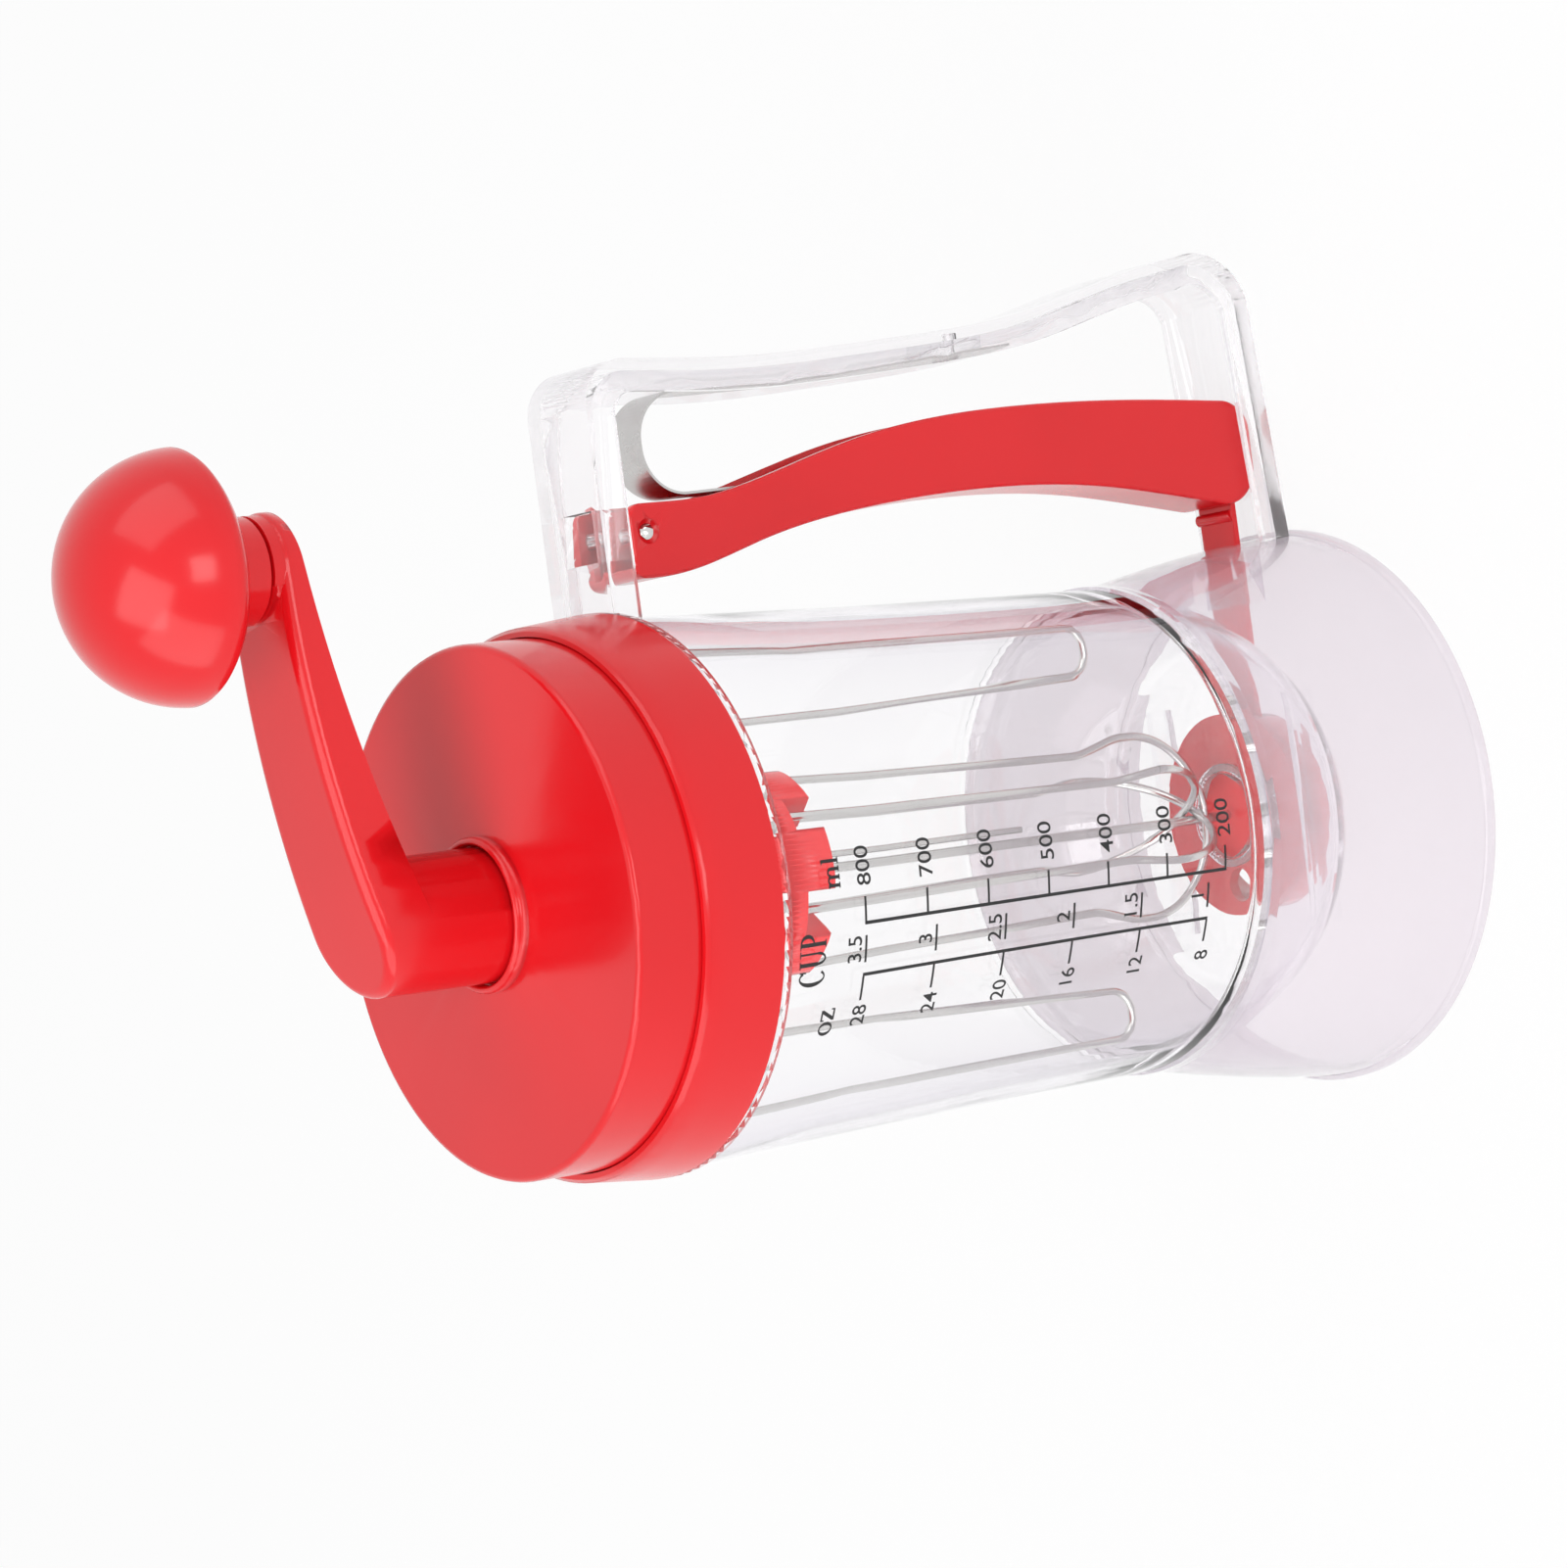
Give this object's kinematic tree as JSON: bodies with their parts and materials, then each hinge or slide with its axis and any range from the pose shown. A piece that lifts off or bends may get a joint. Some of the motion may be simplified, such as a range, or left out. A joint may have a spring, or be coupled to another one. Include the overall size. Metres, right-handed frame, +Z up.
{
  "type": "hand crank blender",
  "caption": "Hand crank blender: clear cup on a flared skirt, red geared lid with crank and knob, balloon whisk and outer beaters, sprung squeeze trigger opening a slide valve.",
  "frame": {"origin": "centre of the base rim, on the surface it stands on", "axes": "+Z up the cup's axis, +X towards the handle, -Y towards the side with the printed scale"},
  "size_m": [0.1661, 0.1106, 0.272],
  "materials": {
    "red_plastic": "glossy opaque red",
    "clear_plastic": "clear, glossy",
    "steel_wire": "polished steel wire",
    "spring_steel": "spring steel strip",
    "gear_plastic": "moulded off-white",
    "soft_seal": "soft translucent seal"
  },
  "bodies": {
    "base": {"cup": "clear_plastic", "skirt_base": "clear_plastic", "strap_bracket": "clear_plastic", "guide_rails": "clear_plastic", "outlet_seal": "soft_seal", "handle": "clear_plastic", "trigger_pin": "steel_wire", "leaf_spring": "spring_steel", "spring_rivet": "clear_plastic"},
    "trigger": {"trigger": "red_plastic"},
    "valve": {"slide_valve": "red_plastic"},
    "lid": {"lid_cap": "red_plastic", "lid_ring": "red_plastic", "lid_seal": "soft_seal", "shaft_bush": "gear_plastic", "planet_pins": "steel_wire"},
    "crank": {"crank_arm": "red_plastic", "drive_shaft": "steel_wire", "sun_gear": "gear_plastic", "shaft_clip": "steel_wire", "knob_spindle": "steel_wire", "whisk_holder": "red_plastic", "whisk_loop_1": "steel_wire", "whisk_loop_2": "steel_wire", "whisk_loop_3": "steel_wire", "whisk_stem": "steel_wire", "short_rod": "steel_wire"},
    "knob": {"knob": "red_plastic"},
    "beater_carrier": {"ring_gear": "gear_plastic", "beater_plate": "red_plastic", "plate_screws": "steel_wire", "outer_beater_a": "steel_wire", "outer_beater_b": "steel_wire"},
    "planet_1": {"planet_gear_1": "gear_plastic"},
    "planet_2": {"planet_gear_2": "gear_plastic"},
    "planet_3": {"planet_gear_3": "gear_plastic"}
  },
  "joints": [
    {"name": "trigger_squeeze", "type": "hinge", "parent": "base", "child": "trigger", "pos_m": [0.066, 0, 0.1547], "axis": [0, -1, 0], "range_deg": [0, 6], "stiffness_Nm_per_rad": 0.6, "springref_deg": -1.72, "deforming": ["leaf_spring"]},
    {"name": "valve_slide", "type": "slide", "parent": "base", "child": "valve", "axis": [1, 0, 0], "range_m": [0, 0.015]},
    {"name": "lid_lift", "type": "slide", "parent": "base", "child": "lid", "axis": [0, 0, 1], "range_m": [0, 0.16]},
    {"name": "crank_turn", "type": "hinge", "parent": "lid", "child": "crank", "pos_m": [0, 0, 0.196], "axis": [0, 0, 1], "continuous": true},
    {"name": "knob_turn", "type": "hinge", "parent": "crank", "child": "knob", "pos_m": [0.0658, 0, 0.236], "axis": [0, 0, 1], "continuous": true},
    {"name": "beater_turn", "type": "hinge", "parent": "lid", "child": "beater_carrier", "pos_m": [0, 0, 0.182], "axis": [0, 0, 1], "continuous": true},
    {"name": "planet_turn_1", "type": "hinge", "parent": "lid", "child": "planet_1", "pos_m": [0.0225, 0, 0.186], "axis": [0, 0, 1], "continuous": true},
    {"name": "planet_turn_2", "type": "hinge", "parent": "lid", "child": "planet_2", "pos_m": [-0.01125, 0.01949, 0.186], "axis": [0, 0, 1], "continuous": true},
    {"name": "planet_turn_3", "type": "hinge", "parent": "lid", "child": "planet_3", "pos_m": [-0.01125, -0.01949, 0.186], "axis": [0, 0, 1], "continuous": true}
  ],
  "couplings": [
    {"joint": "valve_slide", "follows": "trigger_squeeze", "m_per_rad": 0.1423},
    {"joint": "beater_turn", "follows": "crank_turn", "ratio": -0.42857},
    {"joint": "planet_turn_1", "follows": "crank_turn", "ratio": -1.5},
    {"joint": "planet_turn_2", "follows": "crank_turn", "ratio": -1.5},
    {"joint": "planet_turn_3", "follows": "crank_turn", "ratio": -1.5}
  ]
}
